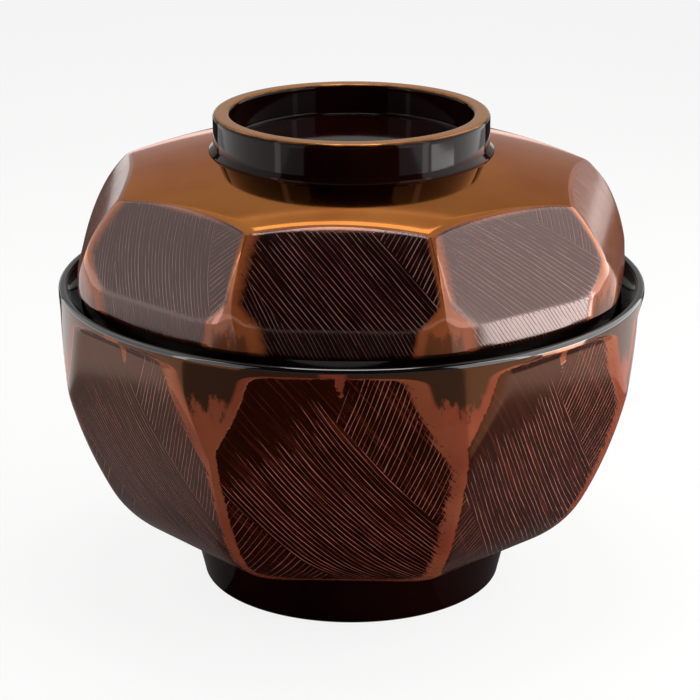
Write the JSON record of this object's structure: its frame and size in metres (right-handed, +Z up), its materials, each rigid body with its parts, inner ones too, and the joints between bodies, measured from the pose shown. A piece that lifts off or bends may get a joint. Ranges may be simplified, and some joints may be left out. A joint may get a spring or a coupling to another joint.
{
  "type": "lidded donburi bowl",
  "caption": "Lacquered donburi bowl with a faceted outside, a plain foot ring, and a domed faceted lid that lifts off by its grip ring; holds a hot rice dish.",
  "frame": {"origin": "on the bowl's axis, at the bottom of the foot ring", "axes": "+Z up along the bowl's axis; the front that the picture shows faces -Y, and +X is to its right"},
  "size_m": [0.15, 0.15, 0.1236],
  "materials": {
    "bowl_body": "dark brown lacquer with reddish comb lines on each facet, red-brown at the ridges, black lip and inside",
    "foot_ring": "plain very dark red-brown gloss lacquer",
    "lid_dome": "golden brown gloss lacquer on top, dark comb-marked facets, golden ridges, black inside",
    "lid_ring": "plain very dark red-brown gloss lacquer, worn golden at the lip"
  },
  "bodies": {
    "bowl": {"bowl_body": "bowl_body", "foot_ring": "foot_ring"},
    "lid": {"lid_dome": "lid_dome", "lid_ring": "lid_ring"}
  },
  "joints": [
    {"name": "lid_lift", "type": "slide", "parent": "bowl", "child": "lid", "axis": [0, 0, 1], "range_m": [0, 0.12]}
  ]
}
